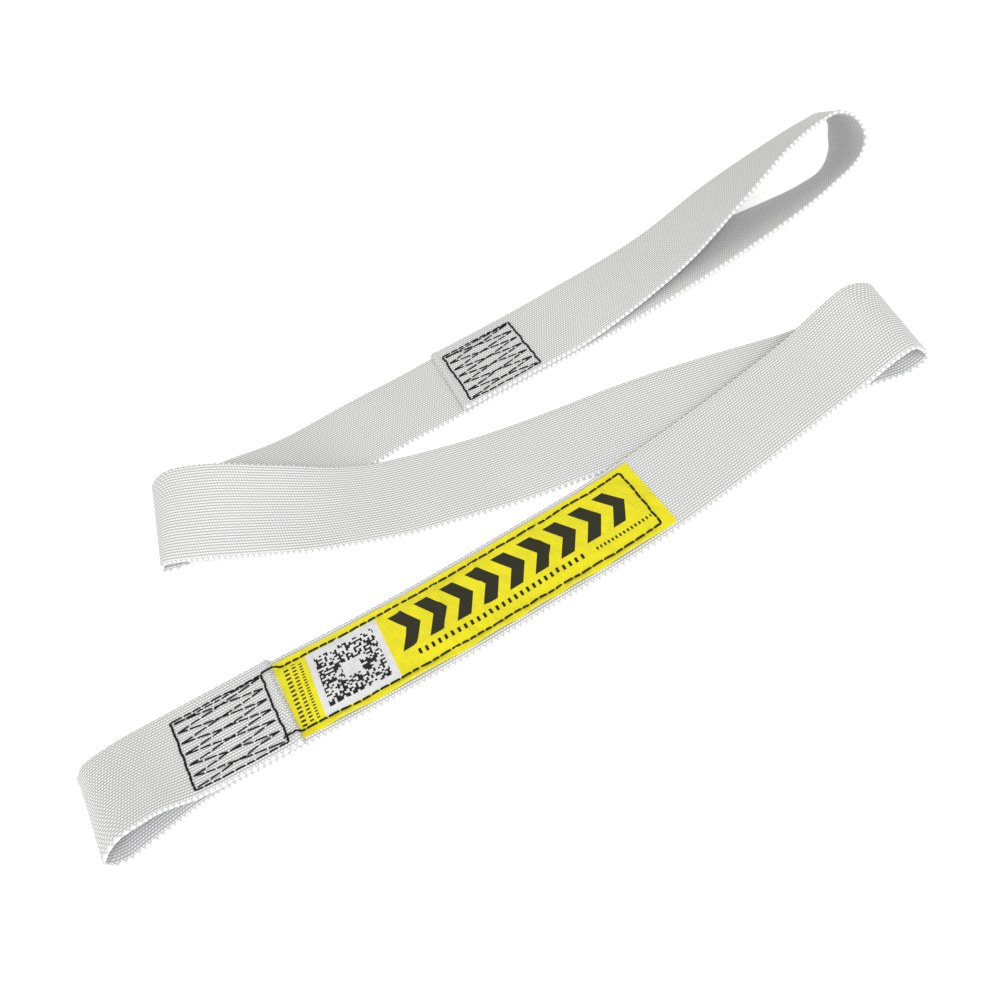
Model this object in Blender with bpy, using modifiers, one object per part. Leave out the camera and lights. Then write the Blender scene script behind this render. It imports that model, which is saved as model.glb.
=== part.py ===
"""Flat webbing sling with a sewn eye at each end, lying folded in three runs.

Metres, +Z up. The origin is on the floor, under the middle of the folded sling's box.
One continuous strap is cut into rigid stretches where it bends in use: at its two folds
and at the root of each eye. Every stretch follows the same route.
"""
import math

import bmesh
import bpy
import numpy as np
from mathutils import Matrix, Vector

# Driving dimensions
WEBBING_WIDTH = 0.050
WEBBING_THICKNESS = 0.0020
GAP = 0.0003
SPLIT_GAP = 0.0012
THREAD_RADIUS = 0.00045
BOX_HALF_LENGTH = 0.0190
BOX_HALF_WIDTH = 0.0195
ZIGZAG_TEETH = 7
LABEL_THICKNESS = 0.0005
LABEL_WIDTH = 0.0436
LABEL_MARGIN = 0.0035
LABEL_STATION = 37.7
SAMPLES_PER_SPAN = 6

FLOOR_LAYER = WEBBING_THICKNESS / 2
SECOND_LAYER = FLOOR_LAYER + WEBBING_THICKNESS + GAP
HALF_WIDTH = WEBBING_WIDTH / 2

# Stations of the strap's middle line: x, y, height, heading and rise of the width
# direction in degrees. A stretch starts at the last station of the stretch before it.
ROUTE = [
    ("upper_tail", "run_1", [
        (-0.0010, 0.0880, SECOND_LAYER, 98, 0),
        (0.0040, 0.0885, SECOND_LAYER, 98, 0),
        (0.0430, 0.0935, SECOND_LAYER, 97, 0),
    ]),
    ("upper_eye", "upper_eye", [
        (0.0700, 0.0970, 0.0040, 97, 0),
        (0.1240, 0.1065, 0.0102, 99, -10),
        (0.1645, 0.1135, 0.0230, 94, -19),
        (0.1980, 0.1185, 0.0330, 87, -29),
        (0.2170, 0.1190, 0.0375, 82, -31),
        (0.2255, 0.1180, 0.0385, 79, -31),
        (0.2290, 0.1155, 0.0355, 82, -33),
        (0.2295, 0.1115, 0.0300, 89, -33),
        (0.2280, 0.1070, 0.0240, 92, -34),
        (0.2210, 0.1030, 0.0180, 92, -34),
        (0.2075, 0.1005, 0.0145, 91, -31),
        (0.1850, 0.0985, 0.0113, 90, -24),
        (0.1250, 0.0975, 0.0050, 91, -9),
        (0.0700, 0.0965, FLOOR_LAYER, 94, 0),
        (0.0430, 0.0935, FLOOR_LAYER, 97, 0),
    ]),
    ("upper_run", "run_1", [
        (0.0040, 0.0885, FLOOR_LAYER, 98, 0),
        (-0.0290, 0.0840, FLOOR_LAYER, 98, 0),
        (-0.0590, 0.0800, FLOOR_LAYER, 97, 0),
        (-0.0895, 0.0760, 0.0014, 98, 0),
        (-0.1220, 0.0720, 0.0043, 97, 4),
        (-0.1505, 0.0672, 0.0042, 92, 6),
        (-0.1560, 0.0660, 0.0096, 84, 14),
    ]),
    ("middle_run", "run_2", [
        (-0.1505, 0.0642, 0.0150, 75, 17),
        (-0.1290, 0.0550, 0.0160, 68, 17),
        (-0.1020, 0.0450, 0.0108, 68, 10),
        (-0.0720, 0.0345, 0.0044, 73, 2),
        (-0.0350, 0.0250, 0.0012, 79, 0),
        (0.0180, 0.0160, FLOOR_LAYER, 83, 0),
        (0.0810, 0.0110, FLOOR_LAYER, 83, 0),
        (0.1480, 0.0000, 0.0011, 82, 0),
        (0.1850, -0.0050, 0.0030, 86, 4),
        (0.1922, -0.0062, 0.0102, 91, 9),
    ]),
    ("lower_run", "run_3", [
        (0.1840, -0.0074, 0.0174, 97, 4),
        (0.1470, -0.0150, 0.0108, 102, -2),
        (0.0945, -0.0270, 0.0046, 104, -1),
        (0.0460, -0.0395, 0.0038, 101, 0),
        (-0.0025, -0.0460, 0.0014, 99, 0),
        (-0.0440, -0.0525, FLOOR_LAYER, 98, 0),
        (-0.0840, -0.0575, FLOOR_LAYER, 97, 0),
        (-0.1200, -0.0610, FLOOR_LAYER, 98, 0),
        (-0.1600, -0.0665, FLOOR_LAYER, 103, 0),
    ]),
    ("lower_eye", "lower_eye", [
        (-0.1870, -0.0755, 0.0011, 108, 0),
        (-0.1980, -0.0790, 0.0016, 107, 0),
        (-0.2035, -0.0805, 0.0062, 106, -2),
        (-0.1980, -0.0785, 0.0108, 107, -6),
        (-0.1800, -0.0715, 0.0092, 109, -5),
        (-0.1600, -0.0665, 0.0046, 103, -1),
    ]),
    ("lower_tail", "run_3", [
        (-0.1200, -0.0610, SECOND_LAYER, 98, 0),
        (-0.1140, -0.0600, SECOND_LAYER, 99, 0),
    ]),
]
UPPER_BOX_LEFT, UPPER_BOX_RIGHT = 1, 2
LOWER_BOX_LEFT, LOWER_BOX_RIGHT = 49, 50
UPPER_EYE_ROOT, LOWER_EYE_ROOT = 2, 49
LEFT_FOLD, RIGHT_FOLD = 24, 34
LABEL_END = 41.75

MATERIALS = {
    "webbing": ((0.74, 0.75, 0.74), 0.85),
    "label_film": ((0.78, 0.70, 0.05), 0.45),
    "thread": ((0.012, 0.012, 0.014), 0.60),
}


def unit(vectors):
    return vectors / np.linalg.norm(vectors, axis=-1, keepdims=True)


class Strap:
    """The strap's middle surface: a smooth line through the stations and its width direction."""

    def __init__(self, route):
        rows = np.array([station for _, _, stations in route for station in stations], float)
        heading, rise = np.radians(rows[:, 3]), np.radians(rows[:, 4])
        across = np.stack([
            np.cos(rise) * np.cos(heading),
            np.cos(rise) * np.sin(heading),
            np.sin(rise),
        ], axis=1)
        self.knots = np.hstack([rows[:, :3], across])
        self.steps = np.sqrt(np.linalg.norm(np.diff(rows[:, :3], axis=0), axis=1))[:, None]
        slopes = np.diff(self.knots, axis=0) / self.steps
        before, after = self.steps[:-1], self.steps[1:]
        inner = (slopes[:-1] * after + slopes[1:] * before) / (before + after)
        self.tangents = np.vstack([slopes[:1], inner, slopes[-1:]])
        self.origin = np.zeros(3)
        self.last = len(rows) - 1

    def smooth(self, u):
        """Hermite curve through the stations, for u in stations."""
        u = np.clip(np.atleast_1d(np.asarray(u, float)), 0, self.last)
        i = np.minimum(u.astype(int), self.last - 1)
        f = (u - i)[:, None]
        h = self.steps[i]
        return (
            (2 * f**3 - 3 * f**2 + 1) * self.knots[i]
            + (f**3 - 2 * f**2 + f) * h * self.tangents[i]
            + (3 * f**2 - 2 * f**3) * self.knots[i + 1]
            + (f**3 - f**2) * h * self.tangents[i + 1]
        )

    def frame(self, u):
        """Middle point, width direction and outward face normal at u."""
        here = self.smooth(u)
        along = unit(self.smooth(np.add(u, 0.02))[:, :3] - self.smooth(np.subtract(u, 0.02))[:, :3])
        across = unit(here[:, 3:])
        across = unit(across - (across * along).sum(1, keepdims=True) * along)
        return here[:, :3] - self.origin, across, np.cross(along, across)

    def point(self, u, v, lift=0.0):
        """A point v metres across the strap and lift metres above its middle surface."""
        middle, across, normal = self.frame(u)
        place = middle + across * np.atleast_1d(v)[:, None] + normal * lift
        lowest = FLOOR_LAYER + normal[:, 2] * lift
        place[:, 2] = np.maximum(place[:, 2], lowest)
        return place

    def inset(self, u, distance):
        """The station value that lies a signed distance along the strap from u."""
        sign = math.copysign(1.0, distance)
        span = np.linalg.norm(self.smooth(u + sign * 0.01)[0, :3] - self.smooth(u)[0, :3]) / 0.01
        return u + distance / span


def centre_on_floor(strap):
    """Moves the strap's origin under the middle of its box."""
    u = np.arange(0, strap.last + 0.01, 0.05)
    edges = np.vstack([
        strap.point(u, np.full(len(u), side * HALF_WIDTH)) for side in (-1, 1)
    ])
    middle = (edges.min(0) + edges.max(0)) / 2
    strap.origin = np.array([middle[0], middle[1], 0.0])


def make_material(name):
    colour, roughness = MATERIALS[name]
    material = bpy.data.materials.new(name)
    material.use_nodes = True
    shader = material.node_tree.nodes["Principled BSDF"]
    shader.inputs["Base Color"].default_value = (*colour, 1.0)
    shader.inputs["Roughness"].default_value = roughness
    shader.inputs["Metallic"].default_value = 0.0
    return material


def strip(name, strap, u_values, half_width, lift, thickness, material):
    """A closed strip of even thickness along the strap: an open surface with Solidify."""
    mesh_data = bmesh.new()
    rows = []
    for u in u_values:
        offsets = np.array([-half_width, 0.0, half_width])
        places = strap.point(np.full(3, u), offsets, lift)
        rows.append([mesh_data.verts.new(place) for place in places])
    for row, following in zip(rows, rows[1:]):
        for k in range(2):
            mesh_data.faces.new((row[k], following[k], following[k + 1], row[k + 1]))
    mesh = bpy.data.meshes.new(name)
    mesh_data.to_mesh(mesh)
    mesh_data.free()
    mesh.materials.append(material)
    mesh.shade_smooth()
    solid = bpy.data.objects.new(name, mesh)
    shell = solid.modifiers.new("thickness", "SOLIDIFY")
    shell.thickness = thickness
    shell.offset = 0.0
    shell.use_even_offset = False
    return solid


def thread(name, strap, path, lift, material):
    """A round thread along a path of (station, offset) points on the strap's outer face."""
    curve = bpy.data.curves.new(name, "CURVE")
    curve.dimensions = "3D"
    curve.bevel_depth = THREAD_RADIUS
    curve.bevel_resolution = 1
    curve.use_fill_caps = True
    spline = curve.splines.new("POLY")
    spline.points.add(len(path) - 1)
    stations = [station for station, _ in path]
    offsets = [offset for _, offset in path]
    for point, place in zip(spline.points, strap.point(stations, offsets, lift)):
        point.co = (*place, 1.0)
    curve.materials.append(material)
    return bpy.data.objects.new(name, curve)


def refine(path, parts):
    """The path with every straight run split into equal parts."""
    fine = [path[0]]
    for start, end in zip(path, path[1:]):
        for k in range(1, parts + 1):
            share = k / parts
            fine.append(tuple(a + (b - a) * share for a, b in zip(start, end)))
    return fine


def box_path(left, right, centre):
    """One line of stitching: three sides and most of the fourth, then the zigzag inside."""
    outer = BOX_HALF_WIDTH
    inner = outer - 4 * THREAD_RADIUS
    margin = (right - left) * 2 * THREAD_RADIUS / BOX_HALF_LENGTH
    path = [
        (left, centre - outer),
        (right, centre - outer),
        (right, centre + outer),
        (left, centre + outer),
        (left, centre - inner),
    ]
    path.append((left + margin, centre - inner))
    for tooth in range(ZIGZAG_TEETH):
        for side, half in ((right - margin, 0.5), (left + margin, 1.0)):
            share = (tooth + half) / ZIGZAG_TEETH
            path.append((side, centre - inner + 2 * inner * share))
    return path


def stretch_stations(strap, first, last):
    """Stations sampled along one stretch, held back by half a split gap at each end."""
    count = round((last - first) * SAMPLES_PER_SPAN)
    values = np.linspace(first, last, count + 1)
    if first > 0:
        values[0] = strap.inset(first, SPLIT_GAP / 2)
    if last < strap.last:
        values[-1] = strap.inset(last, -SPLIT_GAP / 2)
    return values


def hinge_empty(name, strap, station, lift, collection, parent=None):
    """An empty on a hinge line: its local X runs across the strap."""
    middle, across, normal = strap.frame(station)
    x, z = Vector(across[0]), Vector(normal[0])
    turn = Matrix((x, z.cross(x), z)).transposed().to_4x4()
    empty = bpy.data.objects.new(name, None)
    empty.empty_display_size = WEBBING_WIDTH
    empty.matrix_world = Matrix.Translation(Vector(middle[0] + normal[0] * lift)) @ turn
    collection.objects.link(empty)
    if parent is not None:
        attach(empty, parent)
    return empty


def attach(child, parent):
    """Parents a piece without moving it."""
    bpy.context.view_layer.update()
    world = child.matrix_world.copy()
    child.parent = parent
    child.matrix_parent_inverse = parent.matrix_world.inverted()
    child.matrix_world = world


def main():
    for old in list(bpy.data.objects):
        bpy.data.objects.remove(old, do_unlink=True)
    collection = bpy.data.collections.new("webbing_sling")
    bpy.context.scene.collection.children.link(collection)
    materials = {name: make_material(name) for name in MATERIALS}
    strap = Strap(ROUTE)
    centre_on_floor(strap)

    # Hinge lines: outside each fold, and above the root of each eye. The face normal is
    # outward everywhere but along the third run, whose upper face is the strap's back.
    above = WEBBING_THICKNESS / 2 + GAP
    run_2 = hinge_empty("left_fold_hinge", strap, LEFT_FOLD, above, collection)
    run_3 = hinge_empty("right_fold_hinge", strap, RIGHT_FOLD, -above, collection, run_2)
    upper_eye = hinge_empty("upper_eye_hinge", strap, UPPER_EYE_ROOT, above, collection)
    lower_eye = hinge_empty("lower_eye_hinge", strap, LOWER_EYE_ROOT, above, collection, run_3)
    carriers = {"run_2": run_2, "run_3": run_3, "upper_eye": upper_eye, "lower_eye": lower_eye}

    pieces = []
    first = 0
    for index, (name, body, stations) in enumerate(ROUTE):
        last = first + len(stations) - (1 if index == 0 else 0)
        values = stretch_stations(strap, first, last)
        solid = strip(name, strap, values, HALF_WIDTH, 0.0, WEBBING_THICKNESS,
                      materials["webbing"])
        pieces.append((solid, body))
        first = last

    label_stations = np.linspace(LABEL_STATION, LABEL_END, 25)
    label = strip("label", strap, label_stations, LABEL_WIDTH / 2,
                  -(above + LABEL_THICKNESS / 2), LABEL_THICKNESS, materials["label_film"])
    pieces.append((label, "run_3"))

    seam_edge = LABEL_WIDTH / 2 - LABEL_MARGIN
    seam_path = [
        (LABEL_END - 0.02, seam_edge),
        (LABEL_STATION + 0.1, seam_edge),
        (LABEL_STATION + 0.1, -seam_edge),
        (LABEL_END - 0.02, -seam_edge),
    ]
    on_label = above + LABEL_THICKNESS + GAP + THREAD_RADIUS
    seam = thread("label_stitching", strap, refine(seam_path, 12), -on_label,
                  materials["thread"])
    pieces.append((seam, "run_3"))

    on_strap = above + THREAD_RADIUS
    for name, body, left, right, centre in (
        ("upper_box_stitching", "run_1", UPPER_BOX_LEFT, UPPER_BOX_RIGHT, -0.0015),
        ("lower_box_stitching", "run_3", LOWER_BOX_LEFT, LOWER_BOX_RIGHT, -0.0015),
    ):
        path = refine(box_path(left + 0.03, right - 0.03, centre), 4)
        box = thread(name, strap, path, on_strap, materials["thread"])
        pieces.append((box, body))

    for piece, body in pieces:
        collection.objects.link(piece)
        if body in carriers:
            attach(piece, carriers[body])


main()
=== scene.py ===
"""Looks of the folded flat webbing sling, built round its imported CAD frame. Metres, +Z up.

All cloth and thread is built in mesh code along the CAD's own strap route, which is repeated
here. A point on the strap has a length s along it, from the upper tail's hem, and an offset v
across it. Its positive lift points up where the strap runs to the right, which is along both
tails and the second run, and down along the first and third runs.
"""

import math

import bpy
import numpy as np
from mathutils import Matrix, Vector


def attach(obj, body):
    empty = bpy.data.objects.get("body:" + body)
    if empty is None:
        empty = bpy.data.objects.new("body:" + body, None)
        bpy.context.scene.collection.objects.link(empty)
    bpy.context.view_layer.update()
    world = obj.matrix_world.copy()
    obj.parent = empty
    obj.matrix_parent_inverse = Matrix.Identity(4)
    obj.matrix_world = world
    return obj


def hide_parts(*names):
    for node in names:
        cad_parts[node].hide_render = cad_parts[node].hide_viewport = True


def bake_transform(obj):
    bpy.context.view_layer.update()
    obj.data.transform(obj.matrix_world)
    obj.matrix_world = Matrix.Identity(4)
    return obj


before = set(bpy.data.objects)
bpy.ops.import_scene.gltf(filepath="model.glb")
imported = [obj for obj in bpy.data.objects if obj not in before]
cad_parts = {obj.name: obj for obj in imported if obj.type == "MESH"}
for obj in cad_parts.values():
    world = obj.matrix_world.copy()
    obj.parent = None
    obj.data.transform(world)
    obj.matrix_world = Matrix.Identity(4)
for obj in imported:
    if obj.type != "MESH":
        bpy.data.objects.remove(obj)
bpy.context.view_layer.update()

# Webbing
WEBBING_WIDTH = 0.050
WEBBING_THICKNESS = 0.0020
GAP = 0.0001
HALF_WIDTH = WEBBING_WIDTH / 2
HALF_THICKNESS = WEBBING_THICKNESS / 2
FLOOR_LAYER = HALF_THICKNESS
SECOND_LAYER = FLOOR_LAYER + WEBBING_THICKNESS + GAP

# Weave: cells staggered from row to row, and a scalloped selvedge
CELL_PITCH = 0.00138
ROWS_ACROSS = 34
ROW_PITCH = WEBBING_WIDTH / ROWS_ACROSS
RELIEF = 0.00012
SELVEDGE = ROW_PITCH / 2
SCALLOP = 0.00022
RIM_WIDTH = 0.0008
RIM_PITCH = 0.00276
HALF_CELL = CELL_PITCH / 2

# Thread
THREAD_RADIUS = 0.00042
THREAD_SIDES = 8
STITCH_PITCH = 0.0045
ZIGZAG_STEPS = 6
ZIGZAG_PITCH = 0.0056
ZIGZAG_RADIUS = 0.00036
HOLE_REACH = 0.00042
BOX_INSET = 0.0011

# Hems at the strap's two ends, selvedges that thin out, and the unevenness of loose cloth
HEM_LENGTH = 0.0038
HEM_RISE = 0.0006
END_ROUND = 0.0016
HEM_WANDER = 0.00035
THIN_FROM = 0.0215
THIN_OVER = 0.003
THIN_SHARE = 0.16
SLOW_RISE = 0.0005

# Label, with its ends and what it meets as stations of the strap
LABEL_WIDTH = 0.0436
LABEL_THICKNESS = 0.0002
LABEL_RIGHT = 37.7
LABEL_LEFT = 41.95
PRINT_LEFT = 41.82
TAIL_HEM = 41.83
SEAM_START = 42.0
LABEL_MARGIN = 0.0036
LABEL_STEP = 0.0007
LABEL_SLANT = 0.09

# Stations of the strap's middle line: x, y, height, heading and rise of the width
# direction in degrees. They began as a fit to the edges in the photo, and were then rounded
# and adjusted.
ROUTE = np.array([
    # upper tail, on the first run
    (-0.0010, 0.0880, SECOND_LAYER, 98, 0),
    (0.0040, 0.0885, SECOND_LAYER, 98, 0),
    (0.0430, 0.0935, SECOND_LAYER, 97, 0),
    # upper eye
    (0.0700, 0.0970, 0.0040, 97, 0),
    (0.1240, 0.1065, 0.0102, 99, -10),
    (0.1645, 0.1135, 0.0230, 94, -19),
    (0.1980, 0.1185, 0.0330, 87, -29),
    (0.2170, 0.1190, 0.0375, 82, -31),
    (0.2255, 0.1180, 0.0385, 79, -31),
    (0.2290, 0.1155, 0.0355, 82, -33),
    (0.2295, 0.1115, 0.0300, 89, -33),
    (0.2280, 0.1070, 0.0240, 92, -34),
    (0.2210, 0.1030, 0.0180, 92, -34),
    (0.2075, 0.1005, 0.0145, 91, -31),
    (0.1850, 0.0985, 0.0113, 90, -24),
    (0.1250, 0.0975, 0.0050, 91, -9),
    (0.0700, 0.0965, FLOOR_LAYER, 94, 0),
    (0.0430, 0.0935, FLOOR_LAYER, 97, 0),
    # first run
    (0.0040, 0.0885, FLOOR_LAYER, 98, 0),
    (-0.0290, 0.0840, FLOOR_LAYER, 98, 0),
    (-0.0590, 0.0800, FLOOR_LAYER, 97, 0),
    (-0.0895, 0.0760, 0.0014, 98, 0),
    (-0.1220, 0.0720, 0.0043, 97, 4),
    (-0.1505, 0.0672, 0.0042, 92, 6),
    (-0.1560, 0.0660, 0.0096, 84, 14),
    # second run
    (-0.1505, 0.0642, 0.0150, 75, 17),
    (-0.1290, 0.0550, 0.0160, 68, 17),
    (-0.1020, 0.0450, 0.0108, 68, 10),
    (-0.0720, 0.0345, 0.0044, 73, 2),
    (-0.0350, 0.0250, 0.0012, 79, 0),
    (0.0180, 0.0160, FLOOR_LAYER, 83, 0),
    (0.0810, 0.0110, FLOOR_LAYER, 83, 0),
    (0.1480, 0.0000, 0.0011, 82, 0),
    (0.1850, -0.0050, 0.0030, 86, 4),
    (0.1922, -0.0062, 0.0102, 91, 9),
    # third run
    (0.1840, -0.0074, 0.0174, 97, 4),
    (0.1470, -0.0150, 0.0108, 102, -2),
    (0.0945, -0.0270, 0.0046, 104, -1),
    (0.0460, -0.0395, 0.0038, 101, 0),
    (-0.0025, -0.0460, 0.0014, 99, 0),
    (-0.0440, -0.0525, FLOOR_LAYER, 98, 0),
    (-0.0840, -0.0575, FLOOR_LAYER, 97, 0),
    (-0.1200, -0.0610, FLOOR_LAYER, 98, 0),
    (-0.1600, -0.0665, FLOOR_LAYER, 103, 0),
    # lower eye
    (-0.1870, -0.0755, 0.0011, 108, 0),
    (-0.1955, -0.0785, 0.0016, 105, 0),
    (-0.2008, -0.0803, 0.0062, 101, -2),
    (-0.1958, -0.0782, 0.0108, 104, -6),
    (-0.1800, -0.0715, 0.0092, 109, -5),
    (-0.1600, -0.0665, 0.0046, 103, -1),
    # lower tail, on the third run
    (-0.1200, -0.0610, SECOND_LAYER, 98, 0),
    (-0.1140, -0.0600, SECOND_LAYER, 99, 0),
])
TABLE_STEPS = 200
# Middle of the CAD's layout, which is the frame's origin
LAYOUT_MIDDLE = (0.010862, 0.018006)


def unit(vectors):
    return vectors / np.linalg.norm(vectors, axis=-1, keepdims=True)


class Strap:
    """The strap's middle surface: a smooth line through the stations and its width direction."""

    def __init__(self, rows):
        heading, rise = np.radians(rows[:, 3]), np.radians(rows[:, 4])
        across = np.stack([
            np.cos(rise) * np.cos(heading),
            np.cos(rise) * np.sin(heading),
            np.sin(rise),
        ], axis=1)
        self.knots = np.hstack([rows[:, :3], across])
        self.steps = np.sqrt(np.linalg.norm(np.diff(rows[:, :3], axis=0), axis=1))[:, None]
        slopes = np.diff(self.knots, axis=0) / self.steps
        before, after = self.steps[:-1], self.steps[1:]
        inner = (slopes[:-1] * after + slopes[1:] * before) / (before + after)
        self.tangents = np.vstack([slopes[:1], inner, slopes[-1:]])
        self.origin = np.array([*LAYOUT_MIDDLE, 0.0])
        self.last = len(rows) - 1
        self.stations = np.linspace(0, self.last, self.last * TABLE_STEPS + 1)
        middle = self.smooth(self.stations)[:, :3]
        spans = np.linalg.norm(np.diff(middle, axis=0), axis=1)
        self.lengths = np.concatenate([[0.0], np.cumsum(spans)])

    def smooth(self, u):
        """Hermite curve through the stations, for u in stations."""
        u = np.clip(np.atleast_1d(np.asarray(u, float)), 0, self.last)
        i = np.minimum(u.astype(int), self.last - 1)
        f = (u - i)[:, None]
        h = self.steps[i]
        return (
            (2 * f**3 - 3 * f**2 + 1) * self.knots[i]
            + (f**3 - 2 * f**2 + f) * h * self.tangents[i]
            + (3 * f**2 - 2 * f**3) * self.knots[i + 1]
            + (f**3 - f**2) * h * self.tangents[i + 1]
        )

    def frame(self, u):
        """Middle point, width direction and outward face normal at u."""
        here = self.smooth(u)
        along = unit(self.smooth(np.add(u, 0.02))[:, :3] - self.smooth(np.subtract(u, 0.02))[:, :3])
        across = unit(here[:, 3:])
        across = unit(across - (across * along).sum(1, keepdims=True) * along)
        return here[:, :3] - self.origin, across, np.cross(along, across)

    def point(self, u, v, lift):
        """Points v metres across the strap and lift metres above its middle surface."""
        middle, across, normal = self.frame(u)
        v = np.broadcast_to(v, len(middle))[:, None]
        lift = np.broadcast_to(lift, len(middle))
        place = middle + across * v + normal * lift[:, None]
        place[:, 2] = np.maximum(place[:, 2], FLOOR_LAYER + normal[:, 2] * lift)
        return place

    def length_at(self, u):
        return float(np.interp(u, self.stations, self.lengths))

    def station_at(self, s):
        return np.interp(s, self.lengths, self.stations)


def smoothstep(x):
    x = np.clip(x, 0.0, 1.0)
    return x * x * (3 - 2 * x)


# ---------------------------------------------------------------- materials


class Maths:
    """Short calls that chain Math nodes in one material."""

    def __init__(self, material):
        self.nodes = material.node_tree.nodes
        self.links = material.node_tree.links

    def op(self, kind, a, b=None):
        node = self.nodes.new("ShaderNodeMath")
        node.operation = kind
        for socket, value in zip(node.inputs, (a, b)):
            if value is None:
                continue
            if isinstance(value, (int, float)):
                socket.default_value = value
            else:
                self.links.new(value, socket)
        return node.outputs[0]

    def band(self, x, low, high):
        """1 where x lies between low and high."""
        return self.op("MULTIPLY", self.op("GREATER_THAN", x, low), self.op("LESS_THAN", x, high))

    def wave(self, x, pitch, phase=None):
        """0 to 1, with its top at 0 and every pitch."""
        turn = self.op("MULTIPLY", x, 2 * math.pi / pitch)
        if phase is not None:
            turn = self.op("ADD", turn, phase)
        cosine = self.op("COSINE", turn)
        return self.op("ADD", self.op("MULTIPLY", cosine, 0.5), 0.5)

    def mix(self, share, a, b):
        """Colour a where share is 0 and b where it is 1."""
        node = self.nodes.new("ShaderNodeMix")
        node.data_type = "RGBA"
        for socket, value in zip((node.inputs[0], node.inputs[6], node.inputs[7]), (share, a, b)):
            if isinstance(value, tuple):
                socket.default_value = (*value, 1.0)
            else:
                self.links.new(value, socket)
        return node.outputs[2]

    def strap_place(self):
        """The length along and offset across that the mesh builder wrote, in metres."""
        uv = self.nodes.new("ShaderNodeUVMap")
        uv.uv_map = "strap"
        split = self.nodes.new("ShaderNodeSeparateXYZ")
        self.links.new(uv.outputs[0], split.inputs[0])
        return uv.outputs[0], split.outputs[0], split.outputs[1]

    def noise(self, vector, scale, detail, stretch=(1, 1, 1)):
        mapping = self.nodes.new("ShaderNodeMapping")
        mapping.inputs["Scale"].default_value = stretch
        self.links.new(vector, mapping.inputs["Vector"])
        noise = self.nodes.new("ShaderNodeTexNoise")
        noise.inputs["Scale"].default_value = scale
        noise.inputs["Detail"].default_value = detail
        self.links.new(mapping.outputs[0], noise.inputs["Vector"])
        return noise.outputs[0]

    def bump(self, height, strength, distance, shader):
        bump = self.nodes.new("ShaderNodeBump")
        bump.inputs["Strength"].default_value = strength
        bump.inputs["Distance"].default_value = distance
        self.links.new(height, bump.inputs["Height"])
        self.links.new(bump.outputs[0], shader.inputs["Normal"])


def new_material(name):
    material = bpy.data.materials.new(name)
    material.use_nodes = True
    return material, material.node_tree.nodes["Principled BSDF"], Maths(material)


def webbing_material():
    """White polyester weave: pale cells with painted shade in the gaps between them and in the grooves of the
    twisted rim, painted shade in slow patches for the strap's undulations, fine filaments.
    """
    material, shader, maths = new_material("white_polyester_webbing")
    place, s, v = maths.strap_place()
    # The grey between the cells and along the rim's twist is painted shade in the weave's hollows; the yarn
    # itself is white.
    row = maths.op("ROUND", maths.op("DIVIDE", v, ROW_PITCH))
    cell_along = maths.wave(s, CELL_PITCH, maths.op("MULTIPLY", row, math.pi))
    cell_across = maths.wave(v, ROW_PITCH)
    crown = maths.op("ADD", maths.op("MULTIPLY", cell_along, 0.6), 0.4)
    cell = maths.op("MULTIPLY", crown, maths.op("POWER", cell_across, 0.8))
    rim = maths.op("GREATER_THAN", maths.op("ABSOLUTE", v), HALF_WIDTH - RIM_WIDTH)
    twist = maths.op("ADD", maths.op("MULTIPLY", maths.wave(s, RIM_PITCH), 0.6), 0.2)
    inside = maths.op("MULTIPLY", cell, maths.op("SUBTRACT", 1.0, rim))
    cell = maths.op("ADD", inside, maths.op("MULTIPLY", rim, twist))
    yarn_and_gap_shade = maths.mix(cell, (0.28, 0.28, 0.285), (0.94, 0.94, 0.96))
    # Painted shade: slow patches of lighter and darker grey stand for the strap's loose undulations; the same
    # noise also varies the roughness.
    undulation_shade_noise = maths.noise(place, 38.0, 3.0, (1.0, 1.6, 1.0))
    shade = maths.op("SUBTRACT", maths.op("MULTIPLY", undulation_shade_noise, 0.70), 0.20)
    colour = maths.mix(shade, yarn_and_gap_shade, (0.56, 0.565, 0.555))
    maths.links.new(colour, shader.inputs["Base Color"])
    filament = maths.noise(place, 900.0, 2.0, (0.35, 6.0, 1.0))
    height = maths.op("ADD", cell, maths.op("MULTIPLY", filament, 0.25))
    maths.bump(height, 0.55, 0.00025, shader)
    rough = maths.op("ADD", maths.op("MULTIPLY", undulation_shade_noise, 0.2), 0.66)
    maths.links.new(rough, shader.inputs["Roughness"])
    shader.inputs["Specular IOR Level"].default_value = 0.35
    shader.inputs["Sheen Weight"].default_value = 0.12
    shader.inputs["Sheen Roughness"].default_value = 0.5
    return material


def thread_material():
    """Black bonded thread: two twisted plies with a slight shine."""
    material, shader, maths = new_material("black_bonded_thread")
    place, s, v = maths.strap_place()
    ply = maths.wave(maths.op("ADD", s, v), 0.0011)
    fibre = maths.noise(place, 2500.0, 2.0)
    colour = maths.mix(maths.op("MULTIPLY", ply, fibre), (0.003, 0.003, 0.004), (0.014, 0.014, 0.016))
    maths.links.new(colour, shader.inputs["Base Color"])
    maths.bump(maths.op("ADD", ply, fibre), 0.5, 0.0001, shader)
    rough = maths.op("ADD", maths.op("MULTIPLY", fibre, 0.3), 0.45)
    maths.links.new(rough, shader.inputs["Roughness"])
    shader.inputs["Specular IOR Level"].default_value = 0.12
    return material


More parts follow.
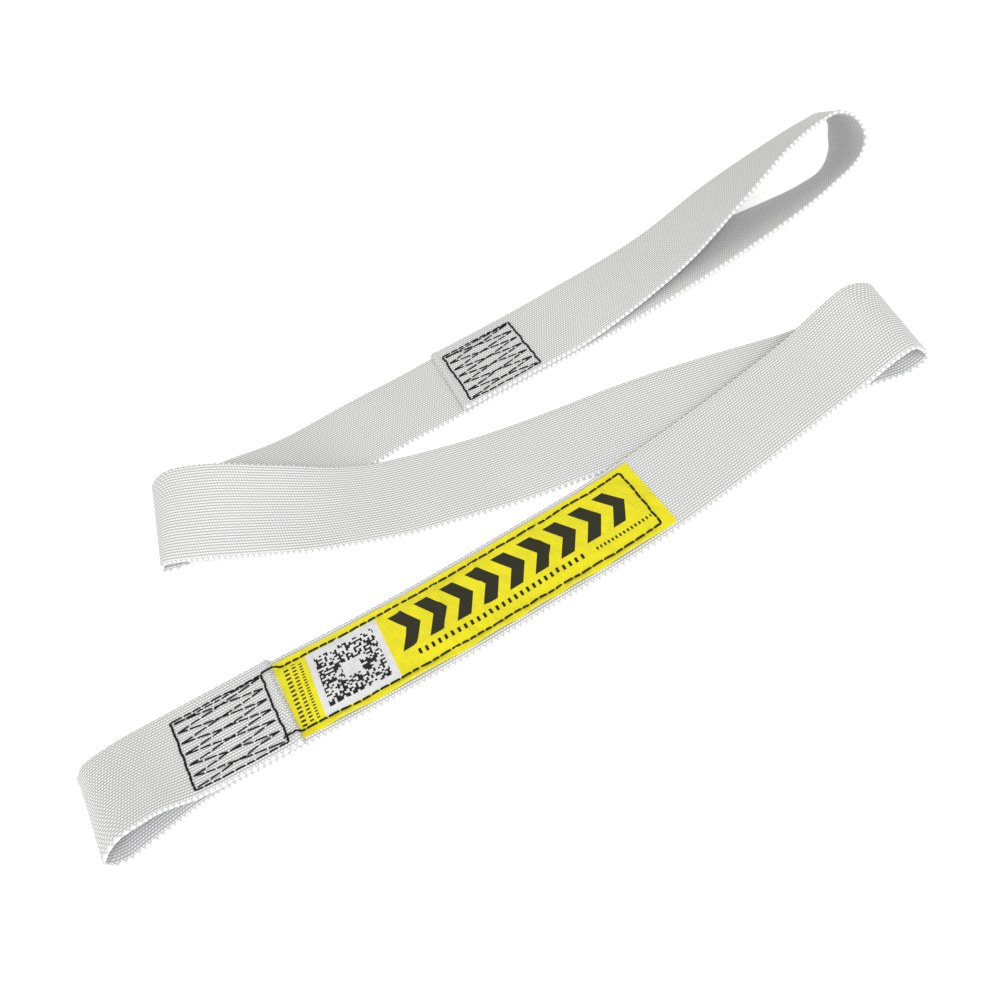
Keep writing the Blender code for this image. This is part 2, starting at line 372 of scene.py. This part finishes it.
# Label layout: distance from the left end of the label, and offset across it
PATCH = (0.0125, 0.0465, -0.0176, 0.0176)
CODE = (0.0155, 0.0435, -0.0140, 0.0140)
CODE_BLANK = (0.0255, 0.0335, -0.0040, 0.0040)
CODE_CELL = 0.0010
BARS = (0.0570, 0.1645, -0.0065, 0.0140)
BAR_PITCH = 0.0127
BAR_SHARE = 0.52
BAR_SLANT = 0.55
RULE_LINE = (0.0560, 0.1375, -0.0125, -0.0096)
SMALL_LINE = (0.1420, 0.1680, -0.0122, -0.0104)
LEFT_COLUMNS = (
    (0.0020, 0.0042, -0.0175, 0.0170),
    (0.0056, 0.0074, -0.0165, 0.0165),
    (0.0088, 0.0102, -0.0160, 0.0160),
)


def label_material(left_end):
    """Yellow film printed with plain chevrons, ticks and a field of random squares, with painted shade in
    patches for its creases.
    """
    material, shader, maths = new_material("printed_yellow_film")
    place, s, v = maths.strap_place()
    a = maths.op("SUBTRACT", left_end, s)

    def box(limits):
        a_low, a_high, v_low, v_high = limits
        return maths.op("MULTIPLY", maths.band(a, a_low, a_high), maths.band(v, v_low, v_high))

    def ticks(x, pitch, share):
        return maths.op("LESS_THAN", maths.op("FRACT", maths.op("DIVIDE", x, pitch)), share)

    def either(*masks):
        total = masks[0]
        for mask in masks[1:]:
            total = maths.op("MAXIMUM", total, mask)
        return total

    bar_middle = (BARS[2] + BARS[3]) / 2
    from_middle = maths.op("ABSOLUTE", maths.op("SUBTRACT", v, bar_middle))
    pointed = maths.op("ADD", a, maths.op("MULTIPLY", from_middle, BAR_SLANT))
    bar_place = maths.op("SUBTRACT", pointed, BARS[0])
    bar_length = BARS[1] - BARS[0]
    bars = maths.op("MULTIPLY", maths.band(bar_place, 0.0, bar_length), maths.band(v, BARS[2], BARS[3]))
    bars = maths.op("MULTIPLY", bars, ticks(bar_place, BAR_PITCH, BAR_SHARE))
    rule = maths.op("MULTIPLY", box(RULE_LINE), ticks(a, 0.0030, 0.42))
    small = maths.op("MULTIPLY", box(SMALL_LINE), ticks(a, 0.0018, 0.45))
    columns = []
    for index, limits in enumerate(LEFT_COLUMNS):
        marks = ticks(v, 0.0024 - 0.0004 * index, 0.45)
        columns.append(maths.op("MULTIPLY", box(limits), marks))

    cell_a = maths.op("FLOOR", maths.op("DIVIDE", a, CODE_CELL))
    cell_v = maths.op("FLOOR", maths.op("DIVIDE", v, CODE_CELL))
    join = maths.nodes.new("ShaderNodeCombineXYZ")
    maths.links.new(cell_a, join.inputs[0])
    maths.links.new(cell_v, join.inputs[1])
    random = maths.nodes.new("ShaderNodeTexWhiteNoise")
    random.noise_dimensions = "2D"
    maths.links.new(join.outputs[0], random.inputs["Vector"])
    dots = maths.op("MULTIPLY", box(CODE), maths.op("GREATER_THAN", random.outputs[0], 0.48))
    blank = maths.op("SUBTRACT", 1.0, box(CODE_BLANK))
    dots = maths.op("MULTIPLY", dots, blank)

    # Painted shade: patches of darker yellow stand for shade in the film's creases; the same noise also
    # varies the roughness.
    crease_shade_noise = maths.noise(place, 140.0, 4.0)
    film = maths.mix(maths.op("MULTIPLY", crease_shade_noise, 0.35), (0.68, 0.62, 0.008), (0.58, 0.51, 0.010))
    film = maths.mix(box(PATCH), film, (0.60, 0.61, 0.62))
    film = maths.mix(bars, film, (0.016, 0.016, 0.006))
    ink = either(rule, small, dots, *columns)
    film = maths.mix(ink, film, (0.008, 0.008, 0.007))
    maths.links.new(film, shader.inputs["Base Color"])
    crumple = maths.noise(place, 75.0, 4.0, (1.0, 0.4, 1.0))
    maths.bump(crumple, 0.8, 0.006, shader)
    rough = maths.op("ADD", maths.op("MULTIPLY", crease_shade_noise, 0.25), 0.26)
    maths.links.new(rough, shader.inputs["Roughness"])
    shader.inputs["Specular IOR Level"].default_value = 0.25
    return material


def floor_material():
    """A pale floor that glows a little, which keeps the shadows on it faint."""
    material, shader, maths = new_material("pale_floor")
    coordinates = maths.nodes.new("ShaderNodeTexCoord")
    grain = maths.noise(coordinates.outputs["Object"], 8.0, 2.0)
    colour = maths.mix(grain, (0.93, 0.93, 0.93), (0.95, 0.95, 0.95))
    maths.links.new(colour, shader.inputs["Base Color"])
    shader.inputs["Roughness"].default_value = 0.9
    shader.inputs["Specular IOR Level"].default_value = 0.1
    shader.inputs["Emission Color"].default_value = (1.0, 1.0, 1.0, 1.0)
    shader.inputs["Emission Strength"].default_value = 0.22
    return material


# ---------------------------------------------------------------- mesh building


def build_mesh(name, points, faces, strap_places, material):
    """A mesh object whose UV map gives each vertex's place on the strap."""
    mesh = bpy.data.meshes.new(name)
    mesh.from_pydata(points.tolist(), [], faces)
    mesh.materials.append(material)
    layer = mesh.uv_layers.new(name="strap")
    corners = np.zeros(len(mesh.loops), dtype=np.int32)
    mesh.loops.foreach_get("vertex_index", corners)
    layer.data.foreach_set("uv", strap_places[corners].astype(np.float32).ravel())
    mesh.shade_smooth()
    mesh.set_sharp_from_angle(angle=math.radians(65))
    mesh.update()
    piece = bpy.data.objects.new(name, mesh)
    bpy.context.scene.collection.objects.link(piece)
    return piece


def tube_faces(rows, ring):
    """Quads between successive closed rings of vertices."""
    i, j = np.meshgrid(np.arange(rows - 1), np.arange(ring), indexing="ij")
    following = (j + 1) % ring
    here, ahead = i * ring, (i + 1) * ring
    quads = np.stack([here + j, ahead + j, ahead + following, here + following], -1)
    return quads.reshape(-1, 4).tolist()


def flat_cap(first, columns, edge, reverse):
    """Closes a strip's end: quads between its two faces and a polygon at each selvedge."""
    ring = 2 * (columns + edge)
    faces = []
    for j in range(columns - 1):
        faces.append([j, j + 1, 2 * columns + edge - 2 - j, 2 * columns + edge - 1 - j])
    faces.append(list(range(columns - 1, columns + edge + 1)))
    faces.append([*range(2 * columns + edge - 1, ring), 0])
    faces = [[first + index for index in face] for face in faces]
    return [face[::-1] for face in faces] if reverse else faces


def strap_strip(name, strap, s_values, half_width, upper, lower, columns, edge_width, scallop, material,
                slant=None):
    """A closed strip. upper and lower give the lift of the faces at (s, v), slant a shift of s."""
    inner = half_width - edge_width
    v_face = np.linspace(-inner, inner, columns)
    angles = np.radians([45.0, 90.0, 135.0])
    edge = len(angles)
    s_grid, v_grid = np.meshgrid(s_values, v_face, indexing="ij")
    top, bottom = upper(s_grid, v_grid), lower(s_grid, v_grid)
    reach = edge_width + scallop * np.cos(2 * math.pi * s_values / CELL_PITCH)[:, None]
    centre = (top[:, [0, -1]] + bottom[:, [0, -1]]) / 2
    half = (top[:, [0, -1]] - bottom[:, [0, -1]]) / 2
    right_v = inner + reach * np.sin(angles)[None]
    right_lift = centre[:, 1:] + half[:, 1:] * np.cos(angles)[None]
    left_v = -inner - reach * np.sin(angles)[None]
    left_lift = centre[:, :1] - half[:, :1] * np.cos(angles)[None]
    v_all = np.hstack([v_grid, right_v, v_grid[:, ::-1], left_v])
    lift_all = np.hstack([top, right_lift, bottom[:, ::-1], left_lift])
    s_all = np.repeat(np.asarray(s_values)[:, None], v_all.shape[1], axis=1)
    if slant is not None:
        s_all = s_all + slant(s_all, v_all)
    u_all = strap.station_at(s_all.ravel())
    points = strap.point(u_all, v_all.ravel(), lift_all.ravel())
    ring = v_all.shape[1]
    rows = len(s_values)
    faces = tube_faces(rows, ring)
    faces += flat_cap(0, columns, edge, False)
    faces += flat_cap((rows - 1) * ring, columns, edge, True)
    places = np.stack([s_all.ravel(), v_all.ravel()], axis=1)
    return build_mesh(name, points, faces, places, material)


def weave_relief(s, v):
    """1 on top of a cell and 0 in the gaps, with the rows staggered by half a cell."""
    row = np.round(v / ROW_PITCH)
    along = 0.65 + 0.35 * np.cos(2 * math.pi * s / CELL_PITCH + math.pi * row)
    across = 0.5 + 0.5 * np.cos(2 * math.pi * v / ROW_PITCH)
    return along * across


def hem_shape(distance, v):
    """Extra height of a folded hem, and how far its rounded end closes, by distance from it."""
    reach = distance - HEM_WANDER * (1 + np.sin(2.6 * v / HALF_WIDTH + 0.6))
    rise = HEM_RISE * (1 - smoothstep((reach - 0.45 * HEM_LENGTH) / (0.55 * HEM_LENGTH)))
    open_share = np.sqrt(np.clip(1 - (1 - np.clip(reach / END_ROUND, 0, 1)) ** 2, 0.0, 1.0))
    return rise, np.maximum(open_share, 0.12)


def slow_wave(s, v, s_values, rise):
    """Soft unevenness of cloth that lies loose, fading out towards the stretch's ends."""
    from_end = np.minimum(s - s_values[0], s_values[-1] - s)
    wave = 0.5 + 0.5 * np.sin(s / 0.0125 + 1.9 * np.sin(s / 0.041) + 1.5 * np.sin(v / 0.017 + s / 0.06))
    return rise * wave * smoothstep(from_end / 0.025)


def webbing_piece(name, strap, first, last, material, hem=None, rise=0.0):
    """One stretch of webbing between two stations. hem says which end has a folded hem."""
    first_row = round(strap.length_at(first) / HALF_CELL)
    last_row = round(strap.length_at(last) / HALF_CELL)
    s_values = np.arange(first_row, last_row + 1) * HALF_CELL
    end = s_values[0] if hem == "start" else s_values[-1]
    columns = 2 * (ROWS_ACROSS - 1) + 1

    def thickness_share(v):
        return 1 - THIN_SHARE * smoothstep((np.abs(v) - THIN_FROM) / THIN_OVER)

    def upper(s, v):
        face = HALF_THICKNESS * thickness_share(v) - RELIEF * (1 - weave_relief(s, v))
        face = face + slow_wave(s, v, s_values, rise)
        if hem is None:
            return face
        hem_rise, open_share = hem_shape(np.abs(s - end), v)
        return (face + hem_rise + HALF_THICKNESS) * open_share - HALF_THICKNESS

    def lower(s, v):
        face = -HALF_THICKNESS * thickness_share(v) + RELIEF * (1 - weave_relief(s, v))
        return face + slow_wave(s, v, s_values, rise)

    return strap_strip(name, strap, s_values, HALF_WIDTH, upper, lower, columns, SELVEDGE, SCALLOP, material)


def tube_mesh(centres, ups, radii, places):
    """Points and faces of a closed thread through centres, flattened a little towards ups."""
    tangents = unit(np.gradient(centres, axis=0))
    beside = unit(np.cross(tangents, ups))
    above = np.cross(beside, tangents)
    theta = np.arange(THREAD_SIDES) * 2 * math.pi / THREAD_SIDES
    offsets = (
        beside[:, None] * np.cos(theta)[None, :, None]
        + 0.85 * above[:, None] * np.sin(theta)[None, :, None]
    )
    points = (centres[:, None] + offsets * radii[:, None, None]).reshape(-1, 3)
    points[:, 2] = np.maximum(points[:, 2], 0.0)
    rows = len(centres)
    faces = [face[::-1] for face in tube_faces(rows, THREAD_SIDES)]
    faces.append(list(range(THREAD_SIDES)))
    faces.append(list(range((rows - 1) * THREAD_SIDES, rows * THREAD_SIDES))[::-1])
    return points, faces, np.repeat(places, THREAD_SIDES, axis=0)


class ThreadWork:
    """Gathers the stitched runs of one seam into one piece."""

    def __init__(self, strap, seed):
        self.strap = strap
        self.points, self.faces, self.places = [], [], []
        self.count = 0
        self.random = np.random.default_rng(seed)

    def add(self, points, faces, places):
        self.faces += [[index + self.count for index in face] for face in faces]
        self.points.append(points)
        self.places.append(places)
        self.count += len(points)

    def run(self, start, end, face, base, pitch=STITCH_PITCH, dip=0.0013, radius=THREAD_RADIUS,
            under=False, lift_at=None, wander=0.00016):
        """A straight run of stitches between two (s, v) places on one face of the strap.

        under lays the run along the floor instead, below the same places.
        """
        start, end = np.array(start), np.array(end)
        length = np.linalg.norm(end - start)
        stitches = max(1, round(length / pitch))
        share = np.linspace(0, 1, stitches * 14 + 1)
        holes = np.concatenate([[0.0], np.cumsum(self.random.uniform(0.75, 1.25, stitches))])
        holes = holes / holes[-1]
        nodes = self.random.normal(0, wander, stitches + 1)
        nodes[[0, -1]] = 0.0
        sideways = np.interp(share, holes, nodes)
        lean = np.array([-(end - start)[1], (end - start)[0]]) / length
        track = start + (end - start) * share[:, None] + lean * sideways[:, None]
        from_hole = np.abs(share[:, None] - holes[None]).min(1) * length
        hole = np.exp(-(from_hole / HOLE_REACH) ** 2)
        lift = base + radius * 0.45 - dip * hole
        if lift_at is not None:
            lift = lift + lift_at(track[:, 0])
        u = self.strap.station_at(track[:, 0])
        centres = self.strap.point(u, track[:, 1], face * lift)
        ups = face * self.strap.frame(u)[2]
        if under:
            centres[:, 2] = 0.00025 + dip * hole
            ups = np.tile([0.0, 0.0, -1.0], (len(centres), 1))
        radii = radius * (0.72 + 0.28 * (1 - hole))
        self.add(*tube_mesh(centres, ups, radii, track))

    def finish(self, name, material):
        return build_mesh(name, np.vstack(self.points), self.faces, np.vstack(self.places), material)


def box_stitching(name, strap, left, right, low, high, material, seed):
    """A square of stitching filled by two crossing zigzags, on the upper and lower faces."""
    work = ThreadWork(strap, seed)
    s_left, s_right = strap.length_at(left), strap.length_at(right)
    steps = np.linspace(high - BOX_INSET, low + BOX_INSET, ZIGZAG_STEPS + 1)
    for under in (False, True):
        for s in (s_left, s_right):
            work.run((s, low), (s, high), 1, HALF_THICKNESS, pitch=0.0029, dip=0.00030,
                     radius=0.00052, under=under, wander=0.00026)
        for v in (low, high):
            work.run((s_left, v), (s_right, v), 1, HALF_THICKNESS, under=under)
        work.run((s_left + BOX_INSET, high - 0.0018), (s_right - BOX_INSET, high - 0.0006), 1, HALF_THICKNESS,
                 radius=ZIGZAG_RADIUS, under=under)
        for first_side in (0, 1):
            sides = (s_left + BOX_INSET, s_right - BOX_INSET)
            for k in range(ZIGZAG_STEPS):
                start = (sides[(first_side + k) % 2], steps[k])
                end = (sides[(first_side + k + 1) % 2], steps[k + 1])
                work.run(start, end, 1, HALF_THICKNESS, pitch=ZIGZAG_PITCH, radius=ZIGZAG_RADIUS,
                         under=under, wander=0.0002)
    return work.finish(name, material)


def label_piece(strap, s_left, s_right, material):
    """The printed film, held down along its seams, slightly puffed and creased between them."""
    seam = LABEL_WIDTH / 2 - LABEL_MARGIN
    count = round((s_left - s_right) / LABEL_STEP)
    s_values = np.linspace(s_right, s_left, count + 1)
    creases = ((0.030, 0.0012), (0.062, -0.0016), (0.078, 0.0009), (0.097, 0.0014), (0.129, -0.0012))

    def puff(s, v):
        a = s_left - s
        free = smoothstep((seam - np.abs(v)) / 0.006) * smoothstep((a - 0.004) / 0.012)
        free = free * smoothstep((s - s_right - 0.006) / 0.006)
        slow = 0.5 + 0.5 * np.sin(a / 0.011 + 2.1 * np.sin(v / 0.013 + a / 0.05))
        height = 0.0006 * free * slow
        for place, lean in creases:
            ridge = np.exp(-((a - place - lean * np.sin(v / 0.006) - 0.12 * v) / 0.0011) ** 2)
            height = height + 0.0007 * ridge * smoothstep((seam + 0.0025 - np.abs(v)) / 0.004)
        fringe = smoothstep((-v - seam - 0.0004) / 0.0018)
        frill = 0.5 + 0.5 * np.sin(a / 0.0042 + 1.7 * np.sin(a / 0.019))
        upper_fringe = smoothstep((v - seam - 0.0008) / 0.002)
        height = height + 0.0011 * fringe * frill * smoothstep((a - 0.006) / 0.01)
        height = height + 0.0003 * upper_fringe * (0.5 + 0.5 * np.sin(a / 0.0061))
        pull = np.exp(-((np.abs(v) - seam) / 0.0011) ** 2)
        pucker = 0.5 + 0.5 * np.cos(2 * math.pi * a / STITCH_PITCH)
        return height + 0.00006 * (1 - pull * pucker)

    def upper(s, v):
        return -(HALF_THICKNESS + 0.00003 + puff(s, v))

    def lower(s, v):
        return upper(s, v) - LABEL_THICKNESS

    def slant(s, v):
        return -LABEL_SLANT * v * smoothstep(1 - (s - s_right) / 0.08)

    columns = round(LABEL_WIDTH / LABEL_STEP)
    return strap_strip("printed_label", strap, s_values, LABEL_WIDTH / 2, upper, lower, columns,
                       LABEL_THICKNESS, 0.0, material, slant)


def label_stitching(strap, s_left, s_right, s_box, material):
    """The label's seam: along both edges and its right end, and up over the tail's hem."""
    work = ThreadWork(strap, 31)
    seam = LABEL_WIDTH / 2 - LABEL_MARGIN
    on_film = HALF_THICKNESS + LABEL_THICKNESS + 0.00012
    tail_end = strap.length_at(TAIL_HEM)

    def over_tail(s):
        return (SECOND_LAYER - FLOOR_LAYER + HEM_RISE * 0.75) * smoothstep((s - tail_end + 0.0022) / 0.0030)

    s_end = s_right + 0.0056
    corners = ((0.0180, 1), (-0.0190, -1))
    for box_corner, side in corners:
        meet = (tail_end - 0.0035, side * seam)
        work.run((s_box, box_corner), meet, -1, on_film, lift_at=over_tail, dip=0.0006, radius=0.00048)
        corner = (s_end - side * LABEL_SLANT * seam, side * seam)
        work.run(meet, corner, -1, on_film, dip=0.0011, radius=0.00048, wander=0.0002)
    lean = LABEL_SLANT * seam
    work.run((s_end - lean, seam), (s_end + lean, -seam), -1, on_film, dip=0.0009, radius=0.00048)
    for side in (1, -1):
        work.run((s_box, side * seam), (s_end, side * seam), 1, HALF_THICKNESS)
    work.run((s_end, seam), (s_end, -seam), 1, HALF_THICKNESS)
    return work.finish("label_seam", material)


# ---------------------------------------------------------------- assembly


def bend_span(strap, first, last):
    """Two points that part the bodies on either side of a fold, square to its width direction."""
    middle = (first + last) / 2
    across = strap.frame(middle)[1][0]
    ends = []
    for station in (first, last):
        u = np.repeat(station, 4)
        v = np.array([-1, -1, 1, 1]) * HALF_WIDTH
        lift = np.array([-1, 1, -1, 1]) * HALF_THICKNESS
        ends.append(strap.point(u, v, lift))
    direction = ends[1].mean(0) - ends[0].mean(0)
    direction = unit(direction - across * (direction @ across))
    low = (ends[0] @ direction).max()
    high = (ends[1] @ direction).min()
    base = strap.frame(middle)[0][0]
    start = base + direction * (low - base @ direction)
    end = base + direction * (max(high, low + 0.002) - base @ direction)
    return tuple(start), tuple(end)


def eye_span(strap, root, inward):
    """From the root of an eye to a short way along it."""
    base = strap.frame(root)[0][0]
    further = strap.frame(root + inward)[0][0]
    direction = unit(further - base)
    return tuple(base), tuple(base + direction * 0.026)


def main():
    strap = Strap(ROUTE)
    webbing = webbing_material()
    black = thread_material()
    run_1, run_2, run_3 = "run_1", "run_2", "run_3"

    # name, first and last station, body, CAD node it stands for, hem, height of its slow waves
    stretches = [
        ("webbing_upper_tail", 0, 2, run_1, "upper_tail", "start", 0.0),
        ("webbing_upper_run", 17, 23, run_1, "upper_run", None, SLOW_RISE),
        ("webbing_middle_run", 25, 33, run_2, "middle_run", None, SLOW_RISE),
        ("webbing_lower_run", 35, 43, run_3, "lower_run", None, 0.0),
        ("webbing_lower_tail", 49, 51, run_3, "lower_tail", "end", 0.0),
    ]
    for name, first, last, body, node, hem, rise in stretches:
        piece = webbing_piece(name, strap, first, last, webbing, hem, rise)
        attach(piece, body)
        declare_webbing(strap, first, last, node)

    # name, first and last station, the two bodies, the span of the bend, CAD node
    bends = [
        ("webbing_upper_eye", 2, 17, run_1, "upper_eye", eye_span(strap, 2, 1), "upper_eye"),
        ("webbing_left_bend", 23, 25, run_1, run_2, bend_span(strap, 23, 25), "upper_run"),
        ("webbing_right_bend", 33, 35, run_2, run_3, bend_span(strap, 33, 35), "lower_run"),
        ("webbing_lower_eye", 43, 49, run_3, "lower_eye", eye_span(strap, 49, -1), "lower_eye"),
    ]
    for name, first, last, body, other, (start, end), node in bends:
        piece = webbing_piece(name, strap, first, last, webbing)
        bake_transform(piece)
        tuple(start)
        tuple(end)
        declare_webbing(strap, first, last, node)

    for name, left, right, low, high, body, node, seed in (
        ("stitching_upper_box", 1.0, 1.98, -0.0218, 0.0178, run_1, "upper_box_stitching", 7),
        ("stitching_lower_box", 48.96, 50.05, -0.0215, 0.0180, run_3, "lower_box_stitching", 11),
    ):
        box = box_stitching(name, strap, left, right, low, high, black, seed)
        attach(box, body)
        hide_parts(node)

    s_left, s_right = strap.length_at(LABEL_LEFT), strap.length_at(LABEL_RIGHT)
    label = label_piece(strap, s_left, s_right, label_material(strap.length_at(PRINT_LEFT)))
    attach(label, run_3)
    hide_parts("label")

    seam = label_stitching(strap, s_left, s_right, strap.length_at(SEAM_START), black)
    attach(seam, run_3)
    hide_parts("label_stitching")

    make_stage(strap)


def declare_webbing(strap, first, last, node):
    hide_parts(node)
    length = strap.length_at(last) - strap.length_at(first)


# ---------------------------------------------------------------- stage

LENS = 45.0
CAMERA_ELEVATION = math.radians(45.0)
CAMERA_ROLL = math.radians(23.5)
CAMERA_DISTANCE = 0.562
FLOOR_SIZE = 24.0
WORLD_COLOUR = (1.0, 0.99, 0.94, 1.0)
WORLD_STRENGTH = 0.78
# name, place, target, size, power, colour
LIGHTS = (
    ("key", (0.1, -1.3, 1.3), (0.0, 0.0, 0.0), 0.7, 21.0, (0.97, 0.985, 1.0)),
    ("front", (-0.5, -1.7, 0.45), (0.0, -0.05, 0.02), 1.0, 11.0, (1.0, 1.0, 1.0)),
)


def area_light(name, place, target, size, power, colour):
    light = bpy.data.lights.new(name, "AREA")
    light.shape = "SQUARE"
    light.size = size
    light.energy = power
    light.color = colour
    lamp = bpy.data.objects.new(name, light)
    lamp.location = place
    lamp.rotation_euler = (Vector(target) - Vector(place)).to_track_quat("-Z", "Y").to_euler()
    bpy.context.scene.collection.objects.link(lamp)


def make_stage(strap):
    """Floor, soft studio light and the camera."""
    scene = bpy.context.scene
    bpy.ops.mesh.primitive_plane_add(size=FLOOR_SIZE)
    floor = bpy.context.object
    floor.name = "floor"
    floor.data.materials.append(floor_material())

    world = bpy.data.worlds.new("studio")
    world.use_nodes = True
    background = world.node_tree.nodes["Background"]
    background.inputs["Color"].default_value = WORLD_COLOUR
    background.inputs["Strength"].default_value = WORLD_STRENGTH
    scene.world = world
    for settings in LIGHTS:
        area_light(*settings)

    forward = Vector((0.0, math.cos(CAMERA_ELEVATION), -math.sin(CAMERA_ELEVATION)))
    level = Vector((1.0, 0.0, 0.0))
    upward = level.cross(forward)
    camera_x = math.cos(CAMERA_ROLL) * level - math.sin(CAMERA_ROLL) * upward
    camera_y = math.sin(CAMERA_ROLL) * level + math.cos(CAMERA_ROLL) * upward
    look_at = Vector((-strap.origin[0], -strap.origin[1], 0.0))
    turn = Matrix((camera_x, camera_y, -forward)).transposed().to_4x4()
    camera = bpy.data.objects.new("camera", bpy.data.cameras.new("camera"))
    camera.data.lens = LENS
    camera.data.sensor_width = 36.0
    camera.matrix_world = Matrix.Translation(look_at - forward * CAMERA_DISTANCE) @ turn
    scene.collection.objects.link(camera)
    scene.camera = camera
    scene.view_settings.view_transform = "Standard"


main()
